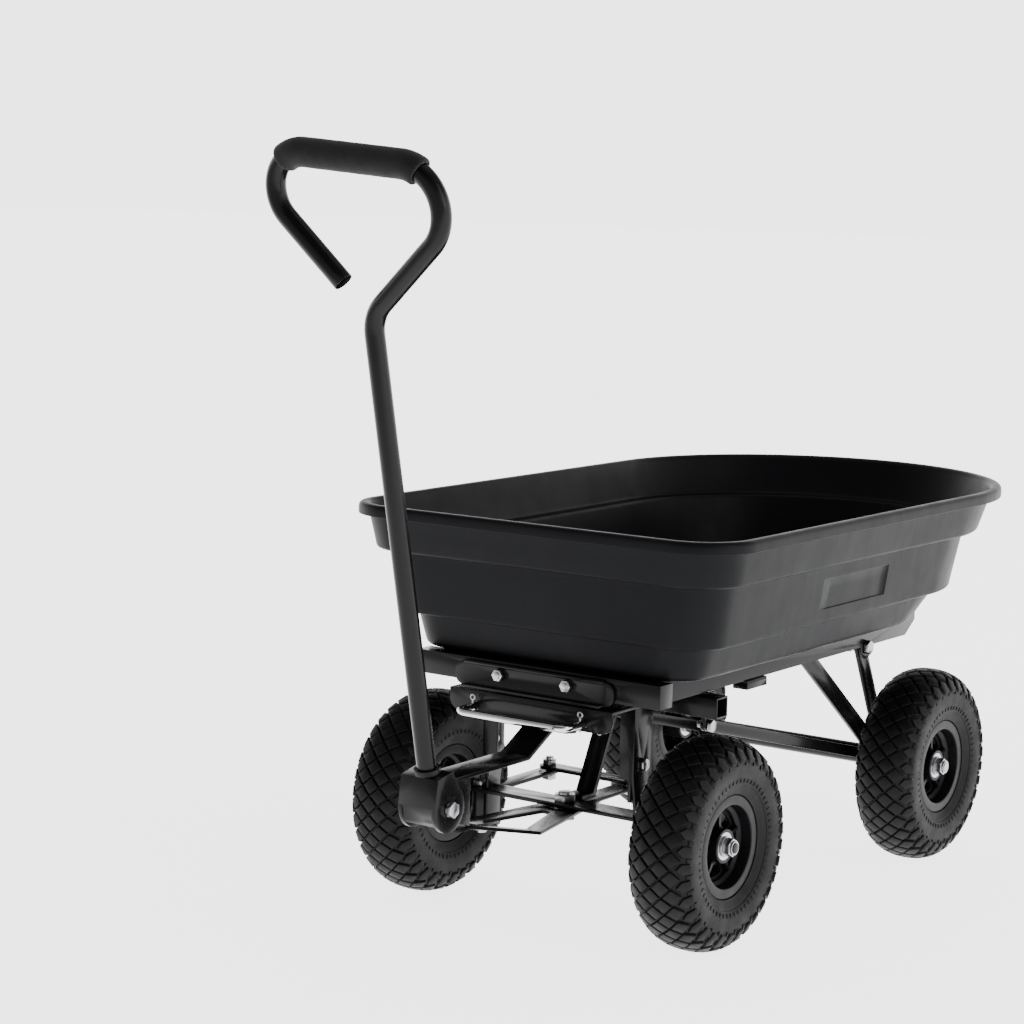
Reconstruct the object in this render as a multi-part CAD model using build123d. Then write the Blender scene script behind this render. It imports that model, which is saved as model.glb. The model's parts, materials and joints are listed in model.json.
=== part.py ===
from build123d import *
import math
import os

# ------------------------------------------------------------------
# Four-wheeled garden tipping cart: moulded poly tray on a bolted steel
# underframe, front axle steered by a folding pull handle.
# Millimetres, +Z up, ground at Z = 0. The handle end faces -Y, the rounded
# tipping end faces +Y, +X is the right-hand side looking towards the handle
# from behind... the tray is symmetric about the X = 0 plane.
# Coordinates in this file are written from the front axle (Y = 0) and are
# moved by Y0 when written, so that the origin is under the middle of the
# overall footprint.
# ------------------------------------------------------------------

Y0 = -183.2539              # front axle position in the finished frame

# wheels
TYRE_R = 125.0           # 10 inch pneumatic tyre, outer radius
TYRE_HALF_W = 40.0
TRACK_HALF = 198.5       # wheel mid-plane from the centre line
WHEELBASE = 532.0
AXLE_Z = 125.0
AXLE_R = 8.0
THREAD_R = 6.0
RUN = 0.06               # running clearance, radial

# release bar legs from the centre line
BAR_X = 76.0

# steering
XK = 122.0               # knuckle pin from the centre line
ARM = 143.0              # steering arm and tongue lever length
PIN_R = 6.0
KING_R = 8.0

# tray pivot
TIP_Y = 455.0
TIP_Z = 284.0

# pull handle
HP_Y, HP_Z = -262.0, 186.0
LEAN = 12.0              # degrees forward of vertical at rest
TUBE_R = 11.0
TUBE_T = 1.5
GRIP_R = 16.0

# tray levels: half width, front y, start of bow y, rear apex y, corner radius, z
T_RIM = (262.0, -97.0, 525.0, 786.0, 62.0, 486.0)
T_A1 = (252.0, -88.0, 505.0, 752.0, 60.0, 430.0)
T_B0 = (235.0, -72.0, 500.0, 736.0, 56.0, 430.0)
T_B1 = (223.0, -65.0, 495.0, 712.0, 54.0, 355.0)
T_C0 = (206.0, -56.0, 490.0, 698.0, 50.0, 355.0)
T_C1 = (194.0, -50.0, 455.0, 622.0, 46.0, 314.0)
WALL = 4.0
LIP_OUT = 10.0           # lip stands out from the wall
LIP_H = 14.0

os.makedirs("parts", exist_ok=True)
made = {}


def save(name, shape):
    shape = Pos(0, Y0, 0) * shape
    solids = shape.solids()
    out = solids[0] if len(solids) == 1 else Compound(children=list(solids))
    out.label = name
    export_step(out, "parts/" + name + ".step")
    made[name] = out


def box(x0, x1, y0, y1, z0, z1):
    return Pos((x0 + x1) / 2, (y0 + y1) / 2, (z0 + z1) / 2) * Box(abs(x1 - x0), abs(y1 - y0), abs(z1 - z0))


def cyl_x(y, z, r, x0, x1):
    return Pos((x0 + x1) / 2, y, z) * Rot(0, 90, 0) * Cylinder(r, abs(x1 - x0))


def cyl_y(x, z, r, y0, y1):
    return Pos(x, (y0 + y1) / 2, z) * Rot(90, 0, 0) * Cylinder(r, abs(y1 - y0))


def cyl_z(x, y, r, z0, z1):
    return Pos(x, y, (z0 + z1) / 2) * Cylinder(r, abs(z1 - z0))


def hex_prism(af, h):
    return extrude(RegularPolygon(af / 2, 6, major_radius=False), h)


def hex_x(y, z, af, x0, x1):
    return Pos(min(x0, x1), y, z) * Rot(0, 90, 0) * hex_prism(af, abs(x1 - x0))


def hex_y(x, z, af, y0, y1):
    return Pos(x, max(y0, y1), z) * Rot(90, 0, 0) * hex_prism(af, abs(y1 - y0))


def hex_z(x, y, af, z0, z1):
    return Pos(x, y, min(z0, z1)) * hex_prism(af, abs(z1 - z0))


def plate_yz(pts, x0, x1):
    f = make_face(Polyline(*[(0, y, z) for y, z in pts], close=True))
    s = extrude(f, x1 - x0, dir=(1, 0, 0))
    return Pos(x0, 0, 0) * s


def plate_xy(pts, z0, z1):
    f = make_face(Polyline(*[(x, y, 0) for x, y in pts], close=True))
    s = extrude(f, z1 - z0, dir=(0, 0, 1))
    return Pos(0, 0, z0) * s


def strip_yz(p, q, w, x0, x1, rp=True, rq=True):
    """Flat bar in a YZ plane between two (y, z) points, rounded at its ends."""
    dy, dz = q[0] - p[0], q[1] - p[1]
    L = math.hypot(dy, dz)
    n = (-dz / L * w / 2, dy / L * w / 2)
    s = plate_yz([(p[0] + n[0], p[1] + n[1]), (q[0] + n[0], q[1] + n[1]),
                  (q[0] - n[0], q[1] - n[1]), (p[0] - n[0], p[1] - n[1])], x0, x1)
    if rp:
        s += cyl_x(p[0], p[1], w / 2, x0, x1)
    if rq:
        s += cyl_x(q[0], q[1], w / 2, x0, x1)
    return s


def both(shape):
    return shape, mirror(shape, about=Plane.YZ)


def ring_x(r_out, r_in, x0, x1, y=0, z=0):
    return cyl_x(y, z, r_out, x0, x1) - cyl_x(y, z, r_in, x0 - 1, x1 + 1)


# ------------------------------------------------------------------
# wheels: built about the origin with +X outboard, axis X
# ------------------------------------------------------------------
def revolve_x(pts):
    """Revolve a closed (x, r) profile about the X axis."""
    f = make_face(Polyline(*[(x, r, 0) for x, r in pts], close=True))
    return revolve(f, axis=Axis.X)


tyre_half = [(26.7, 60.4), (31.2, 60.9), (36.4, 66.0), (39.2, 78.0), (40.0, 90.0), (38.5, 102.0),
             (34.0, 113.0), (27.0, 120.0), (15.0, 124.0), (0.0, 125.0)]
cav_half = [(21.0, 58.5), (29.0, 66.0), (32.5, 78.0), (33.5, 90.0), (31.5, 100.0), (25.0, 110.0), (12.0, 115.5), (0.0, 116.5)]
tyre_pts = ([(16.2, 51.6), (26.6, 51.6)] + tyre_half + [(-x, r) for x, r in reversed(tyre_half[:-1])]
            + [(-26.6, 51.6), (-16.2, 51.6)] + [(-x, r) for x, r in cav_half[:-1]]
            + list(reversed([(x, r) for x, r in cav_half])))
tyre0 = revolve_x(tyre_pts)

tube_out = revolve(Pos(0, 86, 0) * Ellipse(26.0, 27.0), axis=Axis.X)
tube_in = revolve(Pos(0, 86, 0) * Ellipse(24.4, 25.4), axis=Axis.X)
valve0 = Rot(36, 0, 0) * cyl_z(0, 0, 3.0, 26.0, 60.0)
tube0 = (tube_out - tube_in) + valve0

rim_sec = [(30, 60), (27, 60), (27, 51.2), (15, 50.2), (12, 45), (-12, 45), (-15, 50.2), (-27, 51.2), (-27, 60),
           (-30, 60), (-30, 48.2), (-16, 47.2), (-13, 42), (13, 42), (16, 47.2), (30, 48.2)]
rim0 = revolve_x(rim_sec)
rim0 += revolve_x([(4, 17), (9, 17), (9, 43), (4, 43)])
for k in range(5):
    a = 90 + 36 + 72 * k
    win = extrude(make_face(Polyline(*[(0, 9.5 * c, r) for c, r in ((-0.62, 23.5), (0.62, 23.5), (1.55, 37.5), (0.8, 39.2), (-0.8, 39.2), (-1.55, 37.5))], close=True)), 30, dir=(1, 0, 0))
    rim0 -= Rot(a - 90, 0, 0) * Pos(-5, 0, 0) * win
    rib = box(-6, 16, -2.0, 2.0, 17, 43)
    rim0 += Rot(72 * k, 0, 0) * rib
rim0 += cyl_x(0, 0, 20.0, -38, 24)
rim0 -= cyl_x(0, 0, 10.0, -40, 30)
rim0 -= cyl_x(0, 0, 16.0, 14, 30)
rim0 -= cyl_x(0, 0, 16.0, -40, -28)
rim0 -= Rot(36, 0, 0) * cyl_z(0, 0, 3.6, 30.0, 55.0)

brg = ring_x(15.95, AXLE_R + RUN, 14.0, 23.6)
brg_in = ring_x(15.95, AXLE_R + RUN, -37.6, -28.0)


def put_wheel(tag, side, y):
    m = Pos(side * TRACK_HALF, y, AXLE_Z) * (Rot(0, 0, 180) if side < 0 else Rot(0, 0, 0))
    save("tyre_" + tag, m * tyre0)
    save("inner_tube_" + tag, m * tube0)
    save("rim_" + tag, m * rim0)
    save("bearings_" + tag, Compound(children=[m * brg, m * brg_in]))


for tag, side, y in (("front_left", -1, 0.0), ("front_right", 1, 0.0),
                     ("rear_left", -1, WHEELBASE), ("rear_right", 1, WHEELBASE)):
    put_wheel(tag, side, y)


# ------------------------------------------------------------------
# tray shell: three stepped tiers, straight front, rounded rear
# ------------------------------------------------------------------
def outline(lv, off=0.0, z=None):
    w, yf, ys, yr, rc, zz = lv
    if z is not None:
        zz = z
    w, yf, yr, rc = w - off, yf + off, yr - off, rc - off
    c = rc * (1 - math.sqrt(0.5))
    e = [
        Line((-w + rc, yf, zz), (w - rc, yf, zz)),
        ThreePointArc((w - rc, yf, zz), (w - c, yf + c, zz), (w, yf + rc, zz)),
        Line((w, yf + rc, zz), (w, ys, zz)),
    ]
    bow = EllipticalCenterArc((0, ys), w, yr - ys, start_angle=0, arc_size=90)
    bow2 = EllipticalCenterArc((0, ys), w, yr - ys, start_angle=90, arc_size=90)
    e += [Pos(0, 0, zz) * bow, Pos(0, 0, zz) * bow2]
    e += [
        Line((-w, ys, zz), (-w, yf + rc, zz)),
        ThreePointArc((-w, yf + rc, zz), (-w + c, yf + c, zz), (-w + rc, yf, zz)),
    ]
    return make_face(Wire([x.edge() if hasattr(x, "edge") else x for x in e]))


def tier(top, bot, off=0.0, z_top=None, z_bot=None):
    return loft([outline(bot, off, z_bot), outline(top, off, z_top)], ruled=True)


tray = tier(T_RIM, T_A1) + tier(T_B0, T_B1) + tier(T_C0, T_C1)
lip_ring = extrude(outline(T_RIM, -LIP_OUT, T_RIM[5] - LIP_H), LIP_H) - extrude(outline(T_RIM, 1.0, T_RIM[5] - LIP_H - 1), LIP_H + 2)
tray = tray + lip_ring
tray -= tier(T_RIM, T_A1, WALL, T_RIM[5] + 0.01, T_A1[5] + WALL)
tray -= tier(T_B0, T_B1, WALL, T_A1[5] + WALL + 0.01, T_B1[5] + WALL)
tray -= tier(T_C0, T_C1, WALL, T_B1[5] + WALL + 0.01, T_C1[5] + WALL)
# holes for the tray bolts through the floor
TRAY_BOLTS = [(sx * 139.0, y) for sx in (-1, 1) for y in (20.0, 300.0, 440.0)]
FLOOR_Z = T_C1[5] + WALL
HEAD_T = 2.1             # bolt heads lie flush in shallow counterbores
for x, y in TRAY_BOLTS:
    tray -= cyl_z(x, y, 3.2, 300, 330) + cyl_z(x, y, 8.4, FLOOR_Z - HEAD_T, 330)
save("tray_shell", tray)

# tray bolts: flat heads flush with the floor, nuts below the rail flange
tb = []
for x, y in TRAY_BOLTS:
    head = cyl_z(x, y, 8.0, FLOOR_Z - HEAD_T, FLOOR_Z - 0.1) - hex_z(x, y, 4.0, FLOOR_Z - 1.3, FLOOR_Z + 1)
    tb.append(cyl_z(x, y, 3.0, 304.0, FLOOR_Z - 1.5) + head + hex_z(x, y, 10, 305.4, 310.9))
save("tray_bolts", Compound(children=tb))

# angle-iron rails bolted under the tray
RAIL_X0, RAIL_X1 = 124.0, 154.0
rail = box(151, 154, -40, 588, 285.4, 314) + box(RAIL_X0, 154, -40, 588, 311, 314)
rail = rail - plate_yz([(560, 284), (592, 284), (592, 306)], 150, 155)
rail += cyl_x(TIP_Y, TIP_Z, 15, 151, 154) + box(151, 154, TIP_Y - 15, TIP_Y + 15, TIP_Z, 300)
rail -= cyl_x(TIP_Y, TIP_Z, 5.0 + RUN, 140, 160)
for x, y in TRAY_BOLTS:
    if x > 0:
        rail -= cyl_z(x, y, 3.2, 300, 330)
rr, rl = both(rail)
save("tray_rail_right", rr)
save("tray_rail_left", rl)

# cross rail under the front edge of the tray
fr = box(-172, 172, -68, -65, 286, 313.8) + box(-172, 172, -68, -42, 310.8, 313.8) + box(-122, 122, -43, -28, 310.8, 313.8)
fr = fr + box(169, 172, -68, -42, 286, 313.8) + box(-172, -169, -68, -42, 286, 313.8)
for x in (-48, 48):
    fr -= cyl_y(x, 298.5, 4.1, -75, -60)
save("tray_front_rail", fr)

# latch plate bolted to the front cross rail: rolled top, rounded ends
lp = plate_yz([(-72, 281), (-68.2, 281), (-68.2, 309), (-72, 309)], -97, 97)
lp = box(-112, 112, -72, -68.2, 281, 309)
lp = fillet(lp.edges().filter_by(Axis.Y), 11)
lp += cyl_x(-71.4, 309.0, 2.9, -98, 98)
lp += box(-98, 98, -80, -70, 280, 283)
lp -= box(-130, 130, -68.15, -50, 290, 320)
for x in (-48, 48):
    lp -= cyl_y(x, 298.5, 4.1, -80, -60)
save("latch_plate", lp)
lb = []
for x in (-48, 48):
    lb.append(cyl_y(x, 298.5, 4.0, -79, -57) + hex_y(x, 298.5, 13, -77.5, -72.2) + hex_y(x, 298.5, 13, -64.8, -58.5))
save("latch_bolts", Compound(children=lb))

# ------------------------------------------------------------------
# underframe
# ------------------------------------------------------------------
# front channel: deck with a turned-down front flange
deck = box(-115, 115, -78, 62, 274, 277) + box(-115, 115, -78, -75, 250, 277)
fl = [e for e in deck.edges().filter_by(Axis.Y) if e.center().Z < 252]
deck = fillet(fl, 16)
for x in (-BAR_X, BAR_X):
    deck -= cyl_y(x, 259, 4.5 + 0.35, -85, -70)
for s in (-1, 1):
    deck -= cyl_z(s * 97, -8, 3.3, 270, 280)
    deck -= cyl_z(s * 97, 8, 3.3, 270, 280)

# cross tube under the deck's rear edge, ends visible outside the rails
ct = box(-168, 168, 62.2, 87.2, 254, 279) - box(-170, 170, 64.4, 85, 256.2, 276.8)

# side members of the underframe
sm = box(132, 137, 66, TIP_Y + 16, 279.2, 303)
sm = sm - cyl_x(TIP_Y, TIP_Z, 5.0 + RUN, 120, 150) - cyl_x(322.0, 290.0, 4.2, 120, 150)
sm += box(136.9, 157, 150, 196, 274.5, 282.2)
sr, sl = both(sm)
save("side_member_right", sr)
save("side_member_left", sl)

# rubber rest pads that the tray rails sit on
pad = box(138, 157, 150, 196, 282.3, 285.1)
pr, pl = both(pad)
save("rest_pads", Compound(children=[pr, pl]))

# long lower bars, diagonal braces and rear uprights, meeting at the rear axle
RA = (WHEELBASE, AXLE_Z)


def drill(s, pts, r=5.2):
    for y, z in pts:
        s -= cyl_x(y, z, r, 100, 180)
    return s


lbar = drill(strip_yz((92.0, 238.5), RA, 14.0, 132.0, 136.8), [(92.0, 238.5)], 4.2) + cyl_x(RA[0], RA[1], 15, 132.0, 136.8)
lbar = drill(lbar, [RA], AXLE_R + 0.1)
a, b = both(lbar)
save("long_bar_right", a)
save("long_bar_left", b)

brc = strip_yz((322.0, 288.0), RA, 24.0, 137.0, 141.8)
brc = drill(drill(brc, [RA], AXLE_R + 0.1), [(322.0, 290.0)], 4.2)
a, b = both(brc)
save("brace_right", a)
save("brace_left", b)

upr = strip_yz((TIP_Y, TIP_Z), RA, 24.0, 142.0, 146.8)
upr = drill(drill(upr, [RA], AXLE_R + 0.1), [(TIP_Y, TIP_Z)], 5.0 + RUN)
a, b = both(upr)
save("upright_right", a)
save("upright_left", b)

# rear axle: a rod through both wheels inside a spacer tube between the bars
axle = cyl_x(WHEELBASE, AXLE_Z, AXLE_R, -222.4, 222.4)
axle += cyl_x(WHEELBASE, AXLE_Z, THREAD_R, -236.5, 236.5)
save("rear_axle", axle)
rt = ring_x(13.0, AXLE_R + 0.1, -131.8, 131.8, WHEELBASE, AXLE_Z)
save("rear_axle_tube", rt)


def wheel_nut(side, y):
    w = ring_x(12.0, THREAD_R, 222.5, 224.7, y, AXLE_Z)
    n = hex_x(y, AXLE_Z, 19, 224.8, 233.0) + cyl_x(y, AXLE_Z, 8.2, 232.0, 235.6)
    n -= cyl_x(y, AXLE_Z, THREAD_R, 220, 240)
    s = [w, n]
    if side < 0:
        s = [mirror(k, about=Plane.YZ) for k in s]
    return s


def spacer(side, y, x0):
    s = ring_x(11.0, AXLE_R, x0, 160.2, y, AXLE_Z)
    return s if side > 0 else mirror(s, about=Plane.YZ)


save("rear_axle_nuts", Compound(children=wheel_nut(1, WHEELBASE) + wheel_nut(-1, WHEELBASE) + [spacer(1, WHEELBASE, 147.0), spacer(-1, WHEELBASE, 147.0)]))

# tray pivot bolts: head outside the rail, nut inside the side member
pb = cyl_x(TIP_Y, TIP_Z, 5.0, 122.0, 158.0) + hex_x(TIP_Y, TIP_Z, 16, 154.4, 160.2) + hex_x(TIP_Y, TIP_Z, 16, 124.5, 131.8)
pb += ring_x(8.0, 5.0, 147.0, 150.6, TIP_Y, TIP_Z) + ring_x(8.0, 5.0, 137.2, 141.8, TIP_Y, TIP_Z)
a, b = both(pb)
save("tray_pivot_bolts", Compound(children=[a, b]))

# front legs: from the deck down to the knuckles, tapered, with a lower lug
leg = plate_yz([(-19, 273.8), (19, 273.8), (19, 190), (12.4, 150), (12.4, 96), (-12.4, 96), (-12.4, 150), (-19, 190)], 104, 108)
leg += box(86, 108, -19, 19, 270, 273.8)
leg += box(100, 104.2, -19, -15, 160, 273.8) + box(88, 104.2, -19, -15, 186, 273.8)
lug = box(104, XK, -12.4, 12.4, 96, 100) + cyl_z(XK, 0, 12.4, 96, 100)
leg += lug
leg -= cyl_z(XK, 0, PIN_R, 90, 105)
for y in (-8, 8):
    leg -= cyl_z(97, y, 3.3, 265, 280)
leg -= cyl_x(0, 203, 4.2, 100, 112)
a, b = both(leg)
save("front_leg_right", a)
save("front_leg_left", b)

# lower cross bar tying the legs, carries the knuckle pins and the kingpin foot
lc = box(-XK, XK, -18, 18, 138, 142) + box(-15, 15, 10, 47, 138, 142) + cyl_z(XK, 0, 18, 138, 142) + cyl_z(-XK, 0, 18, 138, 142)
lc -= box(103.9, 108.1, -12.5, 12.5, 137, 143) + box(-108.1, -103.9, -12.5, 12.5, 137, 143)
lc -= cyl_z(XK, 0, PIN_R, 130, 150)
lc -= cyl_z(-XK, 0, PIN_R, 130, 150)
lc -= cyl_z(0, 0, KING_R, 130, 150)

# centre strut: flat bar from the cross tube down to the kingpin foot
st = plate_yz([(92.0, 253.8), (87.4, 253.8), (87.4, 240.0), (42.0, 146.2), (18.5, 146.2), (18.5, 141.5), (46.8, 141.5), (92.0, 238.6)], -12.5, 12.5)
st += box(-12.5, 12.5, 87.4, 92.0, 238.0, 279.0)
save("lower_cross_bar", lc + st)

# upper kingpin bracket under the deck
kb = box(-26, 26, -24, 24, 244, 249) + box(-26, -22, -24, 24, 244, 274.5) + box(22, 26, -24, 24, 244, 274.5)
kb -= cyl_z(0, 0, KING_R, 240, 255)
save("front_deck", deck + kb)

# upper and lower kingpin bolts
kp_u = cyl_z(0, 0, KING_R, 232.0, 262.0) + hex_z(0, 0, 24, 249.1, 258.0) + hex_z(0, 0, 24, 226.0, 235.0)
kp_l = cyl_z(0, 0, KING_R, 124.0, 154.0) + hex_z(0, 0, 24, 142.1, 150.5) + hex_z(0, 0, 24, 121.0, 131.4)
save("kingpins", Compound(children=[kp_u, kp_l]))

# knuckle pins
kn = []
for s in (-1, 1):
    kn.append(cyl_z(s * XK, 0, PIN_R, 84.0, 149.0) + hex_z(s * XK, 0, 19, 142.1, 149.0) + hex_z(s * XK, 0, 19, 87.0, 95.8))
save("knuckle_pins", Compound(children=kn))

# frame bolts: legs, deck, brace tops and long bar fronts
fb = []
for s in (-1, 1):
    def fx(x0, x1, y, z, r, af, h):
        sh = cyl_x(y, z, r, x0, x1) + hex_x(y, z, af, x1 - h, x1)
        return sh if s > 0 else mirror(sh, about=Plane.YZ)
    fb.append(fx(100.0, 113.2, 0, 203, 4.0, 13, 5.0))
    fb.append(fx(130.0, 147.0, 322.0, 290.0, 4.0, 13, 5.0))
    fb.append(fx(126.0, 146.8, 92.0, 238.5, 4.0, 13, 5.0))
    for y in (-8, 8):
        fb.append(cyl_z(s * 97, y, 3.0, 264.5, 281.0) + hex_z(s * 97, y, 10, 277.1, 281.0) + hex_z(s * 97, y, 10, 265.0, 269.9))
save("frame_bolts", Compound(children=fb))

# tabs hanging from the cross tube that hold the fronts of the long bars
tab = box(137.0, 141.6, 80, 104, 244, 278.9) + cyl_x(92.0, 240.0, 8.0, 137.0, 141.6) + box(137.0, 141.6, 84, 100, 240, 250)
tab -= cyl_x(92.0, 238.5, 4.2, 130, 150)
a, b = both(tab)
save("front_cross_tube", ct + a + b)

# ------------------------------------------------------------------
# release bar: chrome U handle with return springs on its legs
# ------------------------------------------------------------------
RB_R = 4.5
path = FilletPolyline((-BAR_X, -38, 259), (-BAR_X, -118, 259), (BAR_X, -118, 259), (BAR_X, -38, 259), radius=13)
rb = sweep(Plane(origin=(-BAR_X, -38, 259), z_dir=(0, -1, 0)) * Circle(RB_R), path=path)
for x in (-BAR_X, BAR_X):
    rb -= cyl_z(x, -45, 1.1, 250, 268) + cyl_z(x, -85, 1.1, 250, 268)
save("release_bar", rb)
sp = []
for x in (-BAR_X, BAR_X):
    pitch, turns = 4.2, 5
    hx = Helix(pitch=pitch, height=pitch * turns, radius=6.0)
    coil = sweep(Plane(origin=hx @ 0, z_dir=hx % 0) * Circle(0.7), path=hx)
    sp.append(Pos(x, -73.5, 259) * Rot(-90, 0, 0) * coil)
save("release_springs", Compound(children=sp))
wsh = []
for x in (-BAR_X, BAR_X):
    w = cyl_y(x, 259, 8.0, -51.0, -49.4) - cyl_y(x, 259, RB_R, -55, -45)
    hp = cyl_z(x, -45, 1.0, 246.5, 268.5) + (Pos(x, -45, 244) * Rot(90, 0, 90) * Torus(3.0, 1.0))
    hf = cyl_z(x, -85, 1.0, 250.0, 268.0) + (Pos(x, -85, 270.5) * Rot(90, 0, 0) * Torus(3.0, 1.0))
    wsh += [w, hp, hf]
save("hairpin_clips", Compound(children=wsh))

# ------------------------------------------------------------------
# tongue
# ------------------------------------------------------------------
TB = 20.0
tt = plate_yz([(-266, 212.5), (-103.0, 212.5), (-58.0, 237.5), (0, 237.5), (0, 242.5), (-60.0, 242.5), (-105.0, 217.5), (-266, 217.5)], -TB, TB)
tt += cyl_z(0, 0, TB, 237.5, 242.5)
tt -= cyl_z(0, 0, KING_R + RUN, 230, 250)
save("tongue_top_bar", tt)

# the plate is flat over the axle, then rises to the foot of the cheeks
BEND_Y, FOOT_Y, FOOT_END, FOOT_Z = -121.0, -214.0, -238.0, 153.0
outer = [(-20, FOOT_END), (20, FOOT_END), (20, FOOT_Y + 6), (50, BEND_Y), (24, 14), (14, 60), (14, ARM), (-14, ARM), (-14, 60), (-24, 14), (-50, BEND_Y), (-20, FOOT_Y + 6)]
tl = plate_xy(outer, 130, 160) + cyl_z(0, 0, 24, 130, 160) + cyl_z(0, ARM, 14, 130, 160)
tl = tl & plate_yz([(ARM + 20, 133), (BEND_Y, 133), (FOOT_Y, FOOT_Z), (FOOT_END, FOOT_Z), (FOOT_END, FOOT_Z + 4),
                    (FOOT_Y + 0.4, FOOT_Z + 4), (BEND_Y + 0.4, 137), (ARM + 20, 137)], -70, 70)
tl -= plate_xy([(-10, -188), (10, -188), (30, BEND_Y - 2), (6, -38), (-6, -38), (-30, BEND_Y - 2)], 120, 170)
tl -= cyl_z(0, 0, KING_R + RUN, 120, 170)
tl -= cyl_z(0, ARM, 5.0 + 1.0, 120, 170)
save("tongue_lower_plate", tl)

tbk = []
for s in (-1, 1):
    ck = plate_yz([(HP_Y + dy, HP_Z + dz) for dy, dz in ((45, -28.9), (45, 26.4), (-3.9, 26.4), (-12, 16), (0, 0), (13, -15.8), (24.4, -20.0))], 15.2, 20.0)
    ck += cyl_x(HP_Y, HP_Z, 20.5, 15.2, 20.0)
    ck -= cyl_x(HP_Y, HP_Z, 5.0, 10, 30)
    tbk.append(ck if s > 0 else mirror(ck, about=Plane.YZ))
save("tongue_cheeks", Compound(children=tbk))

hb = cyl_x(HP_Y, HP_Z, 5.0, -33.0, 33.0) + hex_x(HP_Y, HP_Z, 16, 26.4, 32.4) + hex_x(HP_Y, HP_Z, 16, -33.5, -26.4)
hb += ring_x(8.5, 5.0, 25.9, 26.5, HP_Y, HP_Z)
save("handle_pivot_bolt", hb)

# steering knuckles
kk = cyl_z(XK, 0, 13.0, 100.5, 133.2)
arm = plate_xy([(XK - 7, 0), (XK - 3, 24), (XK - 12, 44), (XK - 12, ARM), (XK + 12, ARM), (XK + 12, 0)], 133, 137)
kk += arm + cyl_z(XK, 0, 13.0, 133, 137) + cyl_z(XK, ARM, 12.0, 133, 137)
kk += cyl_x(0, AXLE_Z - 8, 0.1, XK, XK + 1)
kk += Pos(0, 0, 0) * cyl_x(0, AXLE_Z, AXLE_R, XK, 222.4) + cyl_x(0, AXLE_Z, THREAD_R, 220, 236.5)
kk += cyl_x(0, AXLE_Z, 11.0, XK + 6, 160.2) - cyl_z(XK, 0, 12, 137, 150)
kk -= cyl_z(XK, 0, PIN_R + RUN, 90, 140)
kk -= cyl_z(XK, ARM, 6.0, 130, 140)
kk -= box(XK, XK + 60, -20, 20, 137.01, 150)
a, b = both(kk)
save("knuckle_right", a)
save("knuckle_left", b)
save("front_nuts_right", Compound(children=wheel_nut(1, 0.0)))
save("front_nuts_left", Compound(children=wheel_nut(-1, 0.0)))

# tie bar with its three bolts
ti = box(-XK, XK, ARM - 12.5, ARM + 12.5, 138, 142) + cyl_z(XK, ARM, 12.5, 138, 142) + cyl_z(-XK, ARM, 12.5, 138, 142)
for x in (-XK, 0, XK):
    ti -= cyl_z(x, ARM, 5.0, 130, 150)
save("tie_bar", ti)
tib = []
for x in (-XK, 0, XK):
    tib.append(cyl_z(x, ARM, 5.0, 123.0, 153.0) + hex_z(x, ARM, 16, 142.1, 149.0) + hex_z(x, ARM, 16, 124.5, 131.8))
save("tie_bar_bolts", Compound(children=tib))

# ------------------------------------------------------------------
# pull handle: built upright about its pivot, then leaned forward
# ------------------------------------------------------------------
lean = Pos(0, HP_Y, HP_Z) * Rot(LEAN, 0, 0)
V = [(0, 0, 38.0), (0, 0, 556.9), (175.8, 0, 709.0), (-174.5, 0, 737.3), (-33.6, 0, 591.2)]
hpath = FilletPolyline(*V, radius=[45.0, 48.7, 41.3])
sec = Plane(origin=V[0], z_dir=(0, 0, 1)) * Circle(TUBE_R)
sec_i = Plane(origin=V[0], z_dir=(0, 0, 1)) * Circle(TUBE_R - TUBE_T)
ht = sweep(sec, path=hpath) - sweep(sec_i, path=hpath)
save("handle_tube", lean * ht)
gx0, gx1 = -93.0, 84.0
core = sweep(Plane(origin=V[0], z_dir=(0, 0, 1)) * Circle(TUBE_R + 0.05), path=hpath)
gp = sweep(Plane(origin=V[0], z_dir=(0, 0, 1)) * Circle(GRIP_R), path=hpath)
gp = gp & box(gx0, gx1, -40, 40, 690, 770)
gp -= core
save("foam_grip", lean * gp)

FORK_X0, FORK_X1, EAR_R = 20.4, 25.4, 27.0
fork = []
for s in (-1, 1):
    ear = cyl_x(0, 0, EAR_R, FORK_X0, FORK_X1) + plate_yz([(-14, 40), (13, 40), (26.2, 6.5), (-26.2, 6.5)], FORK_X0, FORK_X1)
    ear -= cyl_x(0, 0, 5.0 + RUN, 10, 35)
    fork.append(ear if s > 0 else mirror(ear, about=Plane.YZ))
web = plate_yz([(-14, 40), (-25.5, 10), (-25.5, -8), (-23.4, -13), (-20.9, -13), (-22, -8), (-22, 9), (-10.6, 38), (-10.6, 40)], -FORK_X1, FORK_X1)
bridge = box(-FORK_X1, FORK_X1, -12, 12, 34.0, 40.0)
sock = cyl_z(0, 0, 15.0, 40.0, 46.0)
fk_ = fork[0] + fork[1] + web + bridge + sock
fk_ -= cyl_z(0, 0, TUBE_R, 37.9, 60)
save("handle_fork", lean * fk_)

lo = [1e9] * 3
hi = [-1e9] * 3
for n, s in made.items():
    bb = s.bounding_box()
    for i, (u, v) in enumerate(((bb.min.X, bb.max.X), (bb.min.Y, bb.max.Y), (bb.min.Z, bb.max.Z))):
        lo[i] = min(lo[i], u)
        hi[i] = max(hi[i], v)
print("nodes", len(made), "low", [round(v, 3) for v in lo], "high", [round(v, 3) for v in hi], "Y middle", round((lo[1] + hi[1]) / 2, 4))
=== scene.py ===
import json
import math

import bmesh
import bpy
import numpy as np
from mathutils import Matrix, Vector


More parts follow.
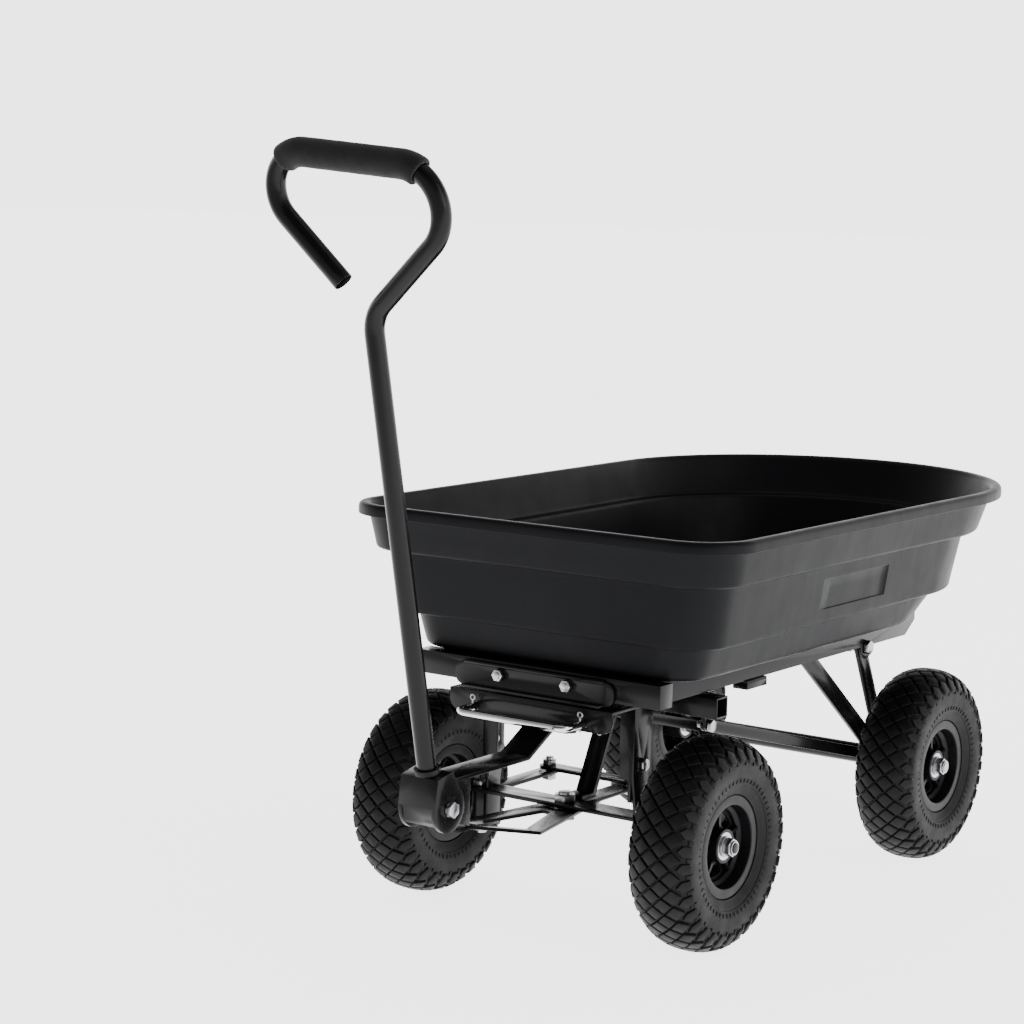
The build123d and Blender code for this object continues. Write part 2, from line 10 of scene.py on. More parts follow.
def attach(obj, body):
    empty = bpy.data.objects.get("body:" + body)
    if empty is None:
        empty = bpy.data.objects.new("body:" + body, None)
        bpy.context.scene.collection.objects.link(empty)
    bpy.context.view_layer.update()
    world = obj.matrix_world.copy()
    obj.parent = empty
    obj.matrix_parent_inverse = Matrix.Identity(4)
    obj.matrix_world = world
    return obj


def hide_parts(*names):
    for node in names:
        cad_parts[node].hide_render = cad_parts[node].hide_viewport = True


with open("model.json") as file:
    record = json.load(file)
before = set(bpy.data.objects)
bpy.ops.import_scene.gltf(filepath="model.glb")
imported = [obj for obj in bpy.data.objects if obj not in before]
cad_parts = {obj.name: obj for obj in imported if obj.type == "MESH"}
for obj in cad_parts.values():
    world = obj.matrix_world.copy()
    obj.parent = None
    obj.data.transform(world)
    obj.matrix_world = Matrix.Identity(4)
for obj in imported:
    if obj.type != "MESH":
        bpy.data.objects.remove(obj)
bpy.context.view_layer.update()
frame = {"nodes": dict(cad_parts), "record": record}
NODES = frame["nodes"]
BODY_OF = {n: b for b, ns in frame["record"]["behaviour"]["bodies"].items() for n in ns}
SLOT_OF = {s["node"]: s["material_slot"] for s in frame["record"]["subparts"]}
MM = 0.001
Y0 = -183.2539           # front axle in the frame, mm


# ------------------------------------------------------------------ camera
def make_camera():
    az, el, roll = math.radians(35.7), math.radians(7.6), math.radians(1.2)
    back = Vector((math.sin(az) * math.cos(el), -math.cos(az) * math.cos(el), math.sin(el)))
    right = Vector((math.cos(az), math.sin(az), 0))
    up = back.cross(right)
    c, s = math.cos(roll), math.sin(roll)
    r2, u2 = c * right + s * up, -s * right + c * up
    rot = Matrix((r2, u2, back)).transposed()
    cam = bpy.data.cameras.new("camera")
    cam.lens = 91.84
    cam.sensor_width = 36.0
    cam.shift_x = 0.0072
    cam.clip_end = 60.0
    ob = bpy.data.objects.new("camera", cam)
    bpy.context.collection.objects.link(ob)
    ob.matrix_world = Matrix.Translation((1.70478, (-2507.39 + Y0) * MM, 0.89113)) @ rot.to_4x4()
    bpy.context.scene.camera = ob


make_camera()


# ------------------------------------------------------------------ materials
class Mat:
    def __init__(self, name, color, rough, metallic=0.0, **sock):
        m = bpy.data.materials.new(name)
        m.use_nodes = True
        self.m, self.nt = m, m.node_tree
        self.n, self.l = m.node_tree.nodes, m.node_tree.links
        self.b = self.n["Principled BSDF"]
        self.b.inputs["Base Color"].default_value = (*color, 1)
        self.b.inputs["Roughness"].default_value = rough
        self.b.inputs["Metallic"].default_value = metallic
        for k, v in sock.items():
            self.b.inputs[k.replace("_", " ")].default_value = v
        if metallic == 0.0 and "Specular_IOR_Level" not in sock:
            self.b.inputs["Specular IOR Level"].default_value = 0.11
        tc = self.n.new("ShaderNodeTexCoord")
        self.co = tc.outputs["Object"]

    def noise(self, scale, detail=3.0, rough=0.5, co=None):
        t = self.n.new("ShaderNodeTexNoise")
        t.inputs["Scale"].default_value = scale
        t.inputs["Detail"].default_value = detail
        t.inputs["Roughness"].default_value = rough
        self.l.new(co or self.co, t.inputs["Vector"])
        return t.outputs["Fac"]

    def voronoi(self, scale, feature="F1"):
        t = self.n.new("ShaderNodeTexVoronoi")
        t.feature = feature
        t.inputs["Scale"].default_value = scale
        self.l.new(self.co, t.inputs["Vector"])
        return t.outputs["Distance"]

    def ramp(self, fac, stops):
        r = self.n.new("ShaderNodeValToRGB")
        el = r.color_ramp.elements
        while len(el) < len(stops):
            el.new(0.5)
        for e, (p, c) in zip(el, stops):
            e.position = p
            e.color = (*c, 1) if isinstance(c, tuple) else (c, c, c, 1)
        self.l.new(fac, r.inputs["Fac"])
        return r.outputs["Color"]

    def scale(self, co, v):
        n = self.n.new("ShaderNodeMapping")
        n.inputs["Scale"].default_value = v
        self.l.new(co, n.inputs["Vector"])
        return n.outputs["Vector"]

    def mix(self, fac, a, b, blend="MIX"):
        x = self.n.new("ShaderNodeMix")
        x.data_type = "RGBA"
        x.blend_type = blend
        if isinstance(fac, float):
            x.inputs["Factor"].default_value = fac
        else:
            self.l.new(fac, x.inputs["Factor"])
        self.l.new(a, x.inputs["A"])
        self.l.new(b, x.inputs["B"])
        return x.outputs["Result"]

    def link(self, out, sock):
        self.l.new(out, self.b.inputs[sock])
        return self

    def bump(self, *layers):
        prev = None
        for h, strength, dist in layers:
            b = self.n.new("ShaderNodeBump")
            b.inputs["Strength"].default_value = strength
            b.inputs["Distance"].default_value = dist
            self.l.new(h, b.inputs["Height"])
            if prev:
                self.l.new(prev, b.inputs["Normal"])
            prev = b.outputs["Normal"]
        self.l.new(prev, self.b.inputs["Normal"])
        return self


def mat_tray():
    a = Mat("tray_plastic", (0.008, 0.0083, 0.0095), 0.4, Specular_IOR_Level=0.075)
    cloud = a.noise(6.0, 4.0, 0.6)
    streak = a.noise(1.0, 3.0, 0.6, a.scale(a.co, (60.0, 60.0, 3.0)))
    a.link(a.ramp(cloud, [(0.3, (0.0032, 0.0033, 0.0041)), (0.7, (0.0046, 0.0048, 0.0058))]), "Base Color")
    r1 = a.ramp(a.mix(0.4, a.noise(22.0, 5.0, 0.65), streak), [(0.3, 0.36), (0.75, 0.50)])
    a.link(r1, "Roughness")
    a.bump((a.noise(900.0, 2.0), 0.25, 0.00025), (a.noise(9.0, 2.0), 0.12, 0.004))
    return a.m


def mat_frame(name="frame_black", base=(0.0028, 0.0028, 0.0032)):
    a = Mat(name, base, 0.25)
    a.b.inputs["Coat Weight"].default_value = 0.08
    a.b.inputs["Coat Roughness"].default_value = 0.12
    dust = a.noise(35.0, 6.0, 0.7)
    a.link(a.ramp(dust, [(0.45, base), (0.8, tuple(x * 1.3 + 0.0005 for x in base))]), "Base Color")
    a.link(a.ramp(a.noise(60.0, 4.0, 0.6), [(0.3, 0.22), (0.8, 0.29)]), "Roughness")
    a.bump((a.noise(420.0, 2.0), 0.18, 0.0004), (a.noise(60.0, 1.0), 0.10, 0.001))
    return a.m


def mat_metal(name, c0, c1, r0, r1, grain=(1.0, 1.0, 1.0), scale=120.0, coat=0.0, bump=0.1):
    a = Mat(name, c1, r0, 1.0)
    n = a.noise(scale, 5.0, 0.6, a.scale(a.co, grain))
    a.link(a.ramp(n, [(0.3, c0), (0.7, c1)]), "Base Color")
    a.link(a.ramp(a.noise(scale * 0.5, 4.0, 0.6, a.scale(a.co, grain)), [(0.3, r0), (0.75, r1)]), "Roughness")
    a.bump((a.noise(scale * 6, 2.0), bump, 0.0003))
    return a.m


def mat_tyre():
    a = Mat("tyre_rubber", (0.02, 0.02, 0.021), 0.62)
    d = a.noise(14.0, 6.0, 0.7)
    f = a.noise(160.0, 4.0, 0.7)
    a.link(a.ramp(a.mix(0.4, d, f), [(0.36, (0.0026, 0.0026, 0.0030)), (0.5, (0.0040, 0.0040, 0.0046)), (0.7, (0.0070, 0.0070, 0.0077))]), "Base Color")
    a.link(a.ramp(a.noise(45.0, 5.0, 0.65), [(0.3, 0.44), (0.75, 0.66)]), "Roughness")
    a.bump((a.noise(1100.0, 2.0), 0.3, 0.0003), (a.noise(90.0, 4.0), 0.25, 0.0006))
    return a.m


def mat_rim():
    a = Mat("rim_black", (0.012, 0.012, 0.014), 0.35)
    a.link(a.ramp(a.noise(40.0, 5.0, 0.6), [(0.35, (0.003, 0.003, 0.0036)), (0.75, (0.006, 0.006, 0.007))]), "Base Color")
    a.link(a.ramp(a.noise(70.0, 4.0, 0.6), [(0.3, 0.26), (0.75, 0.42)]), "Roughness")
    a.bump((a.noise(500.0, 2.0), 0.2, 0.0003))
    return a.m


def mat_foam():
    a = Mat("grip_foam", (0.014, 0.014, 0.016), 0.85)
    a.b.inputs["Sheen Weight"].default_value = 0.12
    a.b.inputs["Sheen Roughness"].default_value = 0.5
    cells = a.voronoi(1500.0)
    a.link(a.ramp(a.noise(50.0, 5.0, 0.65), [(0.35, (0.005, 0.005, 0.0058)), (0.75, (0.0095, 0.0095, 0.0105))]), "Base Color")
    a.link(a.ramp(a.noise(30.0, 3.0), [(0.3, 0.72), (0.7, 0.9)]), "Roughness")
    a.bump((cells, 0.35, 0.0004), (a.noise(140.0, 4.0), 0.25, 0.0008))
    return a.m


def mat_rubber(name):
    a = Mat(name, (0.016, 0.016, 0.017), 0.7)
    a.link(a.ramp(a.noise(60.0, 5.0, 0.6), [(0.35, (0.012, 0.012, 0.013)), (0.75, (0.026, 0.026, 0.027))]), "Base Color")
    a.link(a.ramp(a.noise(50.0, 4.0), [(0.3, 0.55), (0.7, 0.78)]), "Roughness")
    a.bump((a.noise(900.0, 2.0), 0.3, 0.0003))
    return a.m


MATS = {
    "tray_plastic": mat_tray(),
    "frame_black": mat_frame(),
    "zinc": mat_metal("zinc", (0.28, 0.28, 0.29), (0.42, 0.42, 0.44), 0.24, 0.36, bump=0.15),
    "axle_steel": mat_metal("axle_steel", (0.28, 0.28, 0.29), (0.40, 0.40, 0.42), 0.28, 0.42, grain=(1.0, 14.0, 14.0)),
    "bearing_steel": mat_metal("bearing_steel", (0.40, 0.40, 0.41), (0.55, 0.55, 0.56), 0.24, 0.38),
    "chrome_bar": mat_metal("chrome_bar", (0.52, 0.52, 0.54), (0.62, 0.62, 0.64), 0.05, 0.13, bump=0.03, scale=60.0),
    "tyre_rubber": mat_tyre(),
    "tube_rubber": mat_rubber("tube_rubber"),
    "rim_black": mat_rim(),
    "pad_rubber": mat_rubber("pad_rubber"),
    "grip_foam": mat_foam(),
}

for n, o in NODES.items():
    o.data.materials.clear()
    o.data.materials.append(MATS[SLOT_OF[n]])
    for p in o.data.polygons:
        p.material_index = 0


# ------------------------------------------------------------------ helpers
def new_obj(name, verts, faces, node=None, body=None, slot=None, sharp=34.0, smooth=True):
    me = bpy.data.meshes.new(name)
    me.from_pydata([tuple(v) for v in verts], [], [tuple(f) for f in faces])
    me.validate()
    bm = bmesh.new()
    bm.from_mesh(me)
    bmesh.ops.recalc_face_normals(bm, faces=bm.faces)
    bm.to_mesh(me)
    bm.free()
    ob = bpy.data.objects.new(name, me)
    bpy.context.collection.objects.link(ob)
    finish_mesh(me, sharp, smooth)
    place(ob, node, body, slot)
    return ob


def finish_mesh(me, sharp=34.0, smooth=True):
    for p in me.polygons:
        p.use_smooth = smooth
    if smooth:
        me.set_sharp_from_angle(angle=math.radians(sharp))


def place(ob, node=None, body=None, slot=None):
    if node:
        body = body or BODY_OF[node]
        slot = slot or SLOT_OF[node]
        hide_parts(node)
    if slot:
        ob.data.materials.clear()
        ob.data.materials.append(MATS[slot])
    if body:
        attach(ob, body)


def bevel_copy(node, width, segments=2, angle=28.0):
    """The CAD node's own shape with its sheet-metal edges eased, as a rolled or painted edge is."""
    src = NODES[node]
    bm = bmesh.new()
    bm.from_mesh(src.data)
    bmesh.ops.remove_doubles(bm, verts=bm.verts, dist=2e-6)
    bmesh.ops.dissolve_limit(bm, angle_limit=math.radians(0.6), verts=bm.verts, edges=bm.edges)
    edges = [e for e in bm.edges if len(e.link_faces) == 2 and e.calc_face_angle(0.0) > math.radians(angle)]
    bmesh.ops.bevel(bm, geom=edges, offset=width, offset_type="OFFSET", segments=segments, profile=0.5, affect="EDGES", clamp_overlap=True)
    bmesh.ops.triangulate(bm, faces=[f for f in bm.faces if len(f.verts) > 4])
    me = bpy.data.meshes.new(node + "_eased")
    bm.to_mesh(me)
    bm.free()
    ob = bpy.data.objects.new(node + "_eased", me)
    bpy.context.collection.objects.link(ob)
    finish_mesh(me, 40.0)
    place(ob, node)
    return ob


def frames_along(pts):
    """Minimal-twist frames for a tube along points."""
    pts = [Vector(p) for p in pts]
    t = [(pts[min(i + 1, len(pts) - 1)] - pts[max(i - 1, 0)]).normalized() for i in range(len(pts))]
    n = t[0].orthogonal().normalized()
    out = []
    for i in range(len(pts)):
        n = (n - n.dot(t[i]) * t[i]).normalized()
        out.append((pts[i], n, t[i].cross(n)))
    return out


def tube_rings(path, radii, sides, ecc=None):
    V = []
    for (p, n, b), r in zip(frames_along(path), radii):
        for k in range(sides):
            a = 2 * math.pi * k / sides
            V.append(p + (n * math.cos(a) + b * math.sin(a)) * r)
    return V


def ring_faces(i, j, sides, flip=False):
    F = []
    for k in range(sides):
        q = (i * sides + k, i * sides + (k + 1) % sides, j * sides + (k + 1) % sides, j * sides + k)
        F.append(q[::-1] if flip else q)
    return F


# ------------------------------------------------------------------ tray
L_A0 = (262.0, -97.0, 525.0, 786.0, 62.0, 486.0)
L_A1 = (252.0, -88.0, 505.0, 752.0, 60.0, 430.0)
L_B0 = (235.0, -72.0, 500.0, 736.0, 56.0, 430.0)
L_B1 = (223.0, -65.0, 495.0, 712.0, 54.0, 355.0)
L_C0 = (206.0, -56.0, 490.0, 698.0, 50.0, 355.0)
L_C1 = (194.0, -50.0, 455.0, 622.0, 46.0, 314.0)
PANEL_Y = (195.0, 358.0)
PANEL_Z = (373.0, 411.0)


def lerp(a, b, t):
    return tuple(x + (y - x) * t for x, y in zip(a, b))


def at_z(a, b, z):
    return lerp(a, b, (z - a[5]) / (b[5] - a[5]))


def off(p, d, z=None):
    return (p[0] - d, p[1] + d, p[2], p[3] - d, p[4] - min(d, p[4] - 2.0), p[5] if z is None else z)


SIDE_Y = sorted([20.0, 45.0, 70.0, 95.0, 120.0, 145.0, 170.0, 190.0, PANEL_Y[0] - 1.0, PANEL_Y[0], PANEL_Y[0] + 1.2, 215.0, 240.0, 265.0, 290.0, 315.0, 340.0,
                 PANEL_Y[1] - 1.2, PANEL_Y[1], PANEL_Y[1] + 1.0, 375.0, 395.0, 415.0, 432.0])
NF, NC, NB = 14, 14, 44


def outline(p):
    w, yf, ys, yr, rc, z = p
    half = []
    for i in range(NF):
        half.append((w - rc) * i / NF)
    pts = [(x, yf) for x in half]
    for i in range(NC + 1):
        a = -math.pi / 2 + math.pi / 2 * i / NC
        pts.append((w - rc + rc * math.cos(a), yf + rc + rc * math.sin(a)))
    pts += [(w, y) for y in SIDE_Y]
    for i in range(NB + 1):
        a = math.pi / 2 * i / NB
        pts.append((w * math.cos(a), ys + (yr - ys) * math.sin(a)))
    left = [(-x, y) for x, y in pts[1:-1]][::-1]
    return pts + left


def rounded(path):
    """path: list of (params, corner radius); corners become short curves."""
    out = []
    n = len(path)
    for i, (p, r) in enumerate(path):
        if i == 0 or i == n - 1 or r <= 0:
            out.append(p)
            continue
        a, b = path[i - 1][0], path[i + 1][0]
        la = math.hypot(p[0] - a[0], p[5] - a[5])
        lb = math.hypot(p[0] - b[0], p[5] - b[5])
        A = lerp(p, a, min(0.49, r / la))
        B = lerp(p, b, min(0.49, r / lb))
        m = 6 if r > 3 else 5
        for k in range(m + 1):
            s = k / m
            out.append(tuple((1 - s) ** 2 * x + 2 * s * (1 - s) * y + s * s * q for x, y, q in zip(A, p, B)))
    return out


def extra(a, b, zs):
    return [(at_z(a, b, z), 0) for z in zs]


def build_tray():
    T = 4.0
    path = [(off(L_C1, 60, 314.0), 0), (off(L_C1, 25, 314.0), 0), (L_C1, 8), (at_z(L_C1, L_C0, 335.0), 0), (L_C0, 2.5), (L_B1, 4.5)]
    path += extra(L_B1, L_B0, [362.0, PANEL_Z[0] - 1.0, PANEL_Z[0], PANEL_Z[0] + 1.2, 385.0, 398.0, PANEL_Z[1] - 1.2, PANEL_Z[1], PANEL_Z[1] + 1.0, 420.0])
    path += [(L_B0, 2.5), (L_A1, 4.5), (at_z(L_A1, L_A0, 452.0), 0)]
    wall_top = at_z(L_A1, L_A0, 474.0)
    path += [(wall_top, 2.5), (off(L_A0, -7.5, 473.5), 1.5), (off(L_A0, -7.7, 472.2), 0.6), (off(L_A0, -9.8, 472.2), 0.8), (off(L_A0, -9.9, 486.0), 6.5),
             (off(L_A0, 4.5, 486.0), 5.5), (off(at_z(L_A1, L_A0, 466.0), T), 0), (off(L_A1, T, 434.0), 4.5), (off(L_B0, T, 434.0), 4.5),
             (off(at_z(L_B1, L_B0, 395.0), T), 0), (off(L_B1, T, 359.0), 4.5), (off(L_C0, T, 359.0), 4.5), (off(at_z(L_C1, L_C0, 338.0), T), 0),
             (off(L_C1, T, 318.0), 14), (off(L_C1, 30, 318.0), 0), (off(L_C1, 60, 318.0), 0)]
    levels = rounded(path)
    V, F = [], []
    for p in levels:
        for x, y in outline(p):
            V.append([x, y, p[5]])
    m = len(outline(levels[0]))
    V = np.array(V)
    # recessed plain field on each side of the middle tier
    tier_w = np.interp(V[:, 2], [355.0, 430.0], [223.0, 235.0])
    rec = (V[:, 2] > PANEL_Z[0] + 0.5) & (V[:, 2] < PANEL_Z[1] - 0.5) & (V[:, 1] > PANEL_Y[0] + 0.5) & (V[:, 1] < PANEL_Y[1] - 0.5) & (np.abs(np.abs(V[:, 0]) - tier_w) < 1.0)
    V[rec, 0] -= np.sign(V[rec, 0]) * 1.3
    # slight uneven draw of a moulded wall, none at the lip or the floor
    k = np.clip((V[:, 2] - 318) / 60, 0, 1) * np.clip((478 - V[:, 2]) / 30, 0, 1)
    wob = 0.5 * np.sin(V[:, 1] * 0.013 + 0.7) * np.cos(V[:, 2] * 0.02) * k
    V[:, 0] -= np.sign(V[:, 0]) * (0.4 + wob) * k * (np.abs(V[:, 0]) > 60)
    V[:, 1] += Y0
    for i in range(len(levels) - 1):
        F += ring_faces(i, i + 1, m)
    F.append(list(range(m))[::-1])
    top = (len(levels) - 1) * m
    F.append([top + k for k in range(m)])
    new_obj("tray_moulding", V * MM, F, node="tray_shell", sharp=50.0)


build_tray()


# ------------------------------------------------------------------ tyres
def tyre_profile():
    """Carcass from the inboard bead over the crown to the outboard bead: (x, r)."""
    pts = []
    n = 2.35
    for i in range(49):
        a = math.pi * i / 48
        c, s = math.cos(a), math.sin(a)
        x = -39.4 * math.copysign(abs(c) ** (2 / n), c)
        r = 91.0 + 30.3 * abs(s) ** (2 / n)
        pts.append((x, r))
    lower = [(39.2, 86.0), (38.4, 80.0), (37.0, 74.0), (36.2, 72.6), (35.6, 72.4), (34.6, 69.8), (32.4, 65.2), (31.2, 62.6), (30.6, 61.0), (28.4, 60.7), (26.8, 60.2), (26.8, 51.6), (20.0, 51.6)]
    return [(-x, r) for x, r in lower[::-1]] + pts + lower


def build_tyre():
    prof = tyre_profile()
    N = 120
    V, F = [], []
    m = len(prof)
    for j in range(N):
        t = 2 * math.pi * j / N
        ct, st = math.cos(t), math.sin(t)
        for x, r in prof:
            V.append((x, r * ct, r * st))
    for j in range(N):
        k = (j + 1) % N
        for i in range(m - 1):
            F.append((j * m + i, j * m + i + 1, k * m + i + 1, k * m + i))
    # inner closing wall of the bead
    for j in range(N):
        k = (j + 1) % N
        F.append((j * m + m - 1, j * m, k * m, k * m + m - 1))

    # arc length along the crown for the tread blocks
    pr = np.array([p for p in prof if p[1] > 84.0])
    seg = np.hypot(np.diff(pr[:, 0]), np.diff(pr[:, 1]))
    s = np.concatenate([[0], np.cumsum(seg)])
    mid = np.interp(0.0, pr[:, 0], s)
    s -= mid

    def at(u, h):
        x, r = np.interp(u, s, pr[:, 0]), np.interp(u, s, pr[:, 1])
        x2, r2 = np.interp(u + 0.6, s, pr[:, 0]), np.interp(u + 0.6, s, pr[:, 1])
        x1, r1 = np.interp(u - 0.6, s, pr[:, 0]), np.interp(u - 0.6, s, pr[:, 1])
        tx, tr = x2 - x1, r2 - r1
        L = math.hypot(tx, tr)
        nx, nr = -tr / L, tx / L
        if nr < 0 and r > 100:
            nx, nr = -nx, -nr
        return x + nx * h, r + nr * h

    def put(u, th, h):
        x, r = at(u, h)
        return (x, r * math.cos(th), r * math.sin(th))

    PITCH = 34
    dth = 2 * math.pi / PITCH

    def block(u, th, poly, h, taper=0.82):
        """poly: list of (du, dv) in mm around the centre; dv is along the tread."""
        b0 = len(V)
        n = len(poly)
        for sc, hh in ((1.06, -1.2), (0.99, h * 0.55), (taper + 0.08, h * 0.93), (taper, h)):
            for du, dv in poly:
                V.append(put(u + du * sc, th + dv * sc / 121.0, hh))
        for lv in range(3):
            for k in range(n):
                F.append((b0 + lv * n + k, b0 + lv * n + (k + 1) % n, b0 + (lv + 1) * n + (k + 1) % n, b0 + (lv + 1) * n + k))
        F.append([b0 + 3 * n + k for k in range(n)])
        F.append([b0 + k for k in range(n)][::-1])

    dia = [(-10.6, 0.0), (-0.9, -9.4), (0.9, -9.4), (10.6, 0.0), (0.9, 9.4), (-0.9, 9.4)]
    for row, u in enumerate((-24.0, -12.0, 0.0, 12.0, 24.0)):
        for j in range(PITCH):
            th = dth * (j + (0.5 if row % 2 else 0.0))
            block(u, th, dia, 3.5 if abs(u) < 13 else 3.3)
    for sgn in (-1, 1):
        for j in range(PITCH):
            th = dth * (j + 0.5)
            lug = [(-7.5, 0.0), (-1.0, -7.2), (9.5, -7.2), (12.0, -4.4), (12.0, 4.4), (9.5, 7.2), (-1.0, 7.2)]
            block(sgn * 37.0, th, [(a * sgn, b) for a, b in lug], 2.9)
            # narrow shoulder rib between the lugs
            th2 = dth * j
            rib = [(-3.0, -3.0), (7.0, -2.2), (7.0, 2.2), (-3.0, 3.0)]
            block(sgn * 45.0, th2, [(a * sgn, b) for a, b in rib], 1.4, taper=0.8)
    return V, F


TV, TF = build_tyre()


def side_details(V, F):
    """A ring of fine raised studs on each side wall."""
    for sgn in (-1, 1):
        for j in range(60):
            t = 2 * math.pi * j / 60
            r, x = 77.5, sgn * 38.1
            for (dr, dt) in ((0, 0),):
                b0 = len(V)
                w, l = 0.55, 2.4
                for hx in (-0.8, 0.55):
                    for a, b in ((-w, -l), (w, -l), (w, l), (-w, l)):
                        rr = r + b
                        V.append((x + sgn * (hx + 0.16 * b), rr * math.cos(t) - a * math.sin(t), rr * math.sin(t) + a * math.cos(t)))
                F.append((b0 + 4, b0 + 5, b0 + 6, b0 + 7))
                F.append((b0 + 3, b0 + 2, b0 + 1, b0))
                for k in range(4):
                    F.append((b0 + k, b0 + (k + 1) % 4, b0 + 4 + (k + 1) % 4, b0 + 4 + k))


side_details(TV, TF)
TVn = np.array(TV)


# ------------------------------------------------------------------ rims
def build_rim():
    V, F = [], []
    N = 96

    def revolve(prof, closed=True):
        b0 = len(V)
        m = len(prof)
        for j in range(N):
            t = 2 * math.pi * j / N
            for x, r in prof:
                V.append((x, r * math.cos(t), r * math.sin(t)))
        for j in range(N):
            k = (j + 1) % N
            for i in range(m if closed else m - 1):
                i2 = (i + 1) % m
                F.append((b0 + j * m + i, b0 + j * m + i2, b0 + k * m + i2, b0 + k * m + i))

    def rnd(poly, r):
        out = []
        n = len(poly)
        for i in range(n):
            p, a, b = poly[i], poly[i - 1], poly[(i + 1) % n]
            la, lb = math.hypot(p[0] - a[0], p[1] - a[1]), math.hypot(p[0] - b[0], p[1] - b[1])
            ta, tb = min(0.45, r / la), min(0.45, r / lb)
            A = (p[0] + (a[0] - p[0]) * ta, p[1] + (a[1] - p[1]) * ta)
            B = (p[0] + (b[0] - p[0]) * tb, p[1] + (b[1] - p[1]) * tb)
            for k in range(4):
                s = k / 3
                out.append(((1 - s) ** 2 * A[0] + 2 * s * (1 - s) * p[0] + s * s * B[0], (1 - s) ** 2 * A[1] + 2 * s * (1 - s) * p[1] + s * s * B[1]))
        return out

    barrel = [(30, 60), (27.2, 60), (27, 51.3), (15, 50.3), (12, 45.2), (-12, 45.2), (-15, 50.3), (-27, 51.3), (-27.2, 60),
              (-30, 60), (-30, 48.4), (-16, 47.3), (-13, 42.2), (13, 42.2), (16, 47.3), (30, 48.4)]
    revolve(rnd(barrel, 1.4))
    revolve(rnd([(4, 19.4), (9.4, 19.4), (9.4, 25.0), (4, 25.0)], 0.8))
    revolve(rnd([(4, 38.5), (9.4, 38.5), (9.4, 43.0), (4, 43.0)], 0.8))
    hub = [(-38, 10.2), (-38, 20), (24, 20), (24, 15.9), (14, 15.9), (14, 10.2), (-28, 10.2), (-28, 15.9), (-38, 15.9)]
    hub = [(-38, 15.9), (-38, 20), (24, 20), (24, 15.9), (14, 15.9), (14, 10.2), (-28, 10.2), (-28, 15.9)]
    revolve(rnd(hub, 0.8))

    def prism(loop0, loop1, x0, x1, ease=0.8):
        """Spoke: closed loops in the wheel plane at x0 and x1, with eased outer edges."""
        b0 = len(V)
        n = len(loop0)
        c0 = np.mean(loop0, 0)
        rings = [(x0, loop0), (x1 - ease, loop1), (x1 - ease * 0.3, [(c0 + (np.array(p) - c0) * 0.985) for p in loop1]), (x1, [(c0 + (np.array(p) - c0) * 0.955) for p in loop1])]
        for x, lp in rings:
            for p in lp:
                V.append((x, p[0], p[1]))
        for i in range(len(rings) - 1):
            for k in range(n):
                F.append((b0 + i * n + k, b0 + i * n + (k + 1) % n, b0 + (i + 1) * n + (k + 1) % n, b0 + (i + 1) * n + k))
        F.append([b0 + k for k in range(n)][::-1])
        F.append([b0 + (len(rings) - 1) * n + k for k in range(n)])

    for j in range(5):
        t = 2 * math.pi * j / 5
        R = np.array([[math.cos(t), -math.sin(t)], [math.sin(t), math.cos(t)]])
        web = [(-7.0, 19.0), (-5.2, 24.0), (-5.0, 30.0), (-6.4, 36.0), (-10.5, 40.5), (10.5, 40.5), (6.4, 36.0), (5.0, 30.0), (5.2, 24.0), (7.0, 19.0)]
        prism([R @ np.array(p) for p in web], [R @ np.array(p) for p in web], 4.4, 9.0)
        rib = [(-2.2, 18.0), (-2.0, 30.0), (-2.0, 42.6), (2.0, 42.6), (2.0, 30.0), (2.2, 18.0)]
        prism([R @ np.array(p) for p in rib], [R @ np.array(p) for p in rib], -5.0, 16.0)
    return V, F


RV, RF = build_rim()
RVn = np.array(RV)

for tag, side, y, spin in (("front_left", -1, 0.0, 0.21), ("front_right", 1, 0.0, 0.86), ("rear_left", -1, 532.0, 0.5), ("rear_right", 1, 532.0, 0.12)):
    c, s = math.cos(spin), math.sin(spin)
    R = np.array([[1, 0, 0], [0, c, -s], [0, s, c]])
    if side < 0:
        R = np.diag([-1.0, -1.0, 1.0]) @ R
    at = np.array([side * 198.5, y + Y0, 125.0])
    new_obj("tyre_body_" + tag, ((TVn @ R.T) + at) * MM, TF, node="tyre_" + tag, sharp=32.0)
    cR = np.diag([-1.0, -1.0, 1.0]) if side < 0 else np.eye(3)
    new_obj("rim_body_" + tag, ((RVn @ cR.T) + at) * MM, RF, node="rim_" + tag, sharp=34.0)


# ------------------------------------------------------------------ pull handle
HP = np.array([0.0, -262.0 + Y0, 186.0])
LEAN = math.radians(12.0)


def hplane(x, s):
    return (x, HP[1] - s * math.sin(LEAN), HP[2] + s * math.cos(LEAN))


def fillet_path(verts, radii, step=2.5):
    """Straight runs joined by arcs, in the handle's own plane."""
    pts = [np.array(verts[0], float)]
    for i in range(1, len(verts) - 1):
        p, a, b = (np.array(v, float) for v in (verts[i], verts[i - 1], verts[i + 1]))
        r = radii[i - 1]
        u, w = (a - p) / np.linalg.norm(a - p), (b - p) / np.linalg.norm(b - p)
        ang = math.acos(np.clip(u @ w, -1, 1))
        d = r / math.tan(ang / 2)
        A, B = p + u * d, p + w * d
        c = p + (u + w) / np.linalg.norm(u + w) * (r / math.sin(ang / 2))
        turn = math.pi - ang
        n = max(6, int(r * turn / step))
        a0, a1 = A - c, B - c
        for k in range(n + 1):
            t = k / n
            v = (math.sin((1 - t) * turn) * a0 + math.sin(t * turn) * a1) / math.sin(turn)
            pts.append(c + v)
    pts.append(np.array(verts[-1], float))
    out = [pts[0]]
    for a, b in zip(pts[:-1], pts[1:]):
        L = np.linalg.norm(b - a)
        n = max(1, int(L / 12.0))
        for k in range(1, n + 1):
            q = a + (b - a) * k / n
            if np.linalg.norm(q - out[-1]) > 0.05:
                out.append(q)
    return out


